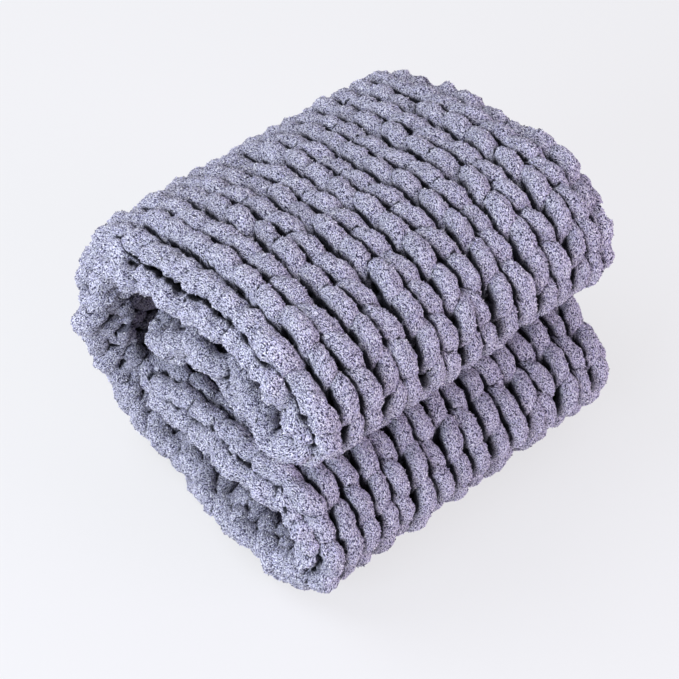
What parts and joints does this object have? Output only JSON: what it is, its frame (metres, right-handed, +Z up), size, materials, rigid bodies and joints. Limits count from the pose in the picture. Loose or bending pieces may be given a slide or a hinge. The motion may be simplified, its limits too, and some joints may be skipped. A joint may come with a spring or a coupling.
{
  "type": "chunky knit blanket",
  "caption": "Chunky knit blanket of thick chenille yarn, folded into a stack with rounded folds at the front and a broad bend at the back.",
  "frame": {"origin": "middle of the stack's footprint, on the surface it rests on", "axes": "+X along the folds, -Y towards the two front folds, +Y towards the back bend, +Z up"},
  "size_m": [0.3803, 0.3724, 0.3245],
  "materials": {
    "chenille_yarn": "short soft pile, matt, grey with a blue and lavender cast"
  },
  "bodies": {
    "root": {"blanket": "chenille_yarn"}
  },
  "joints": []
}
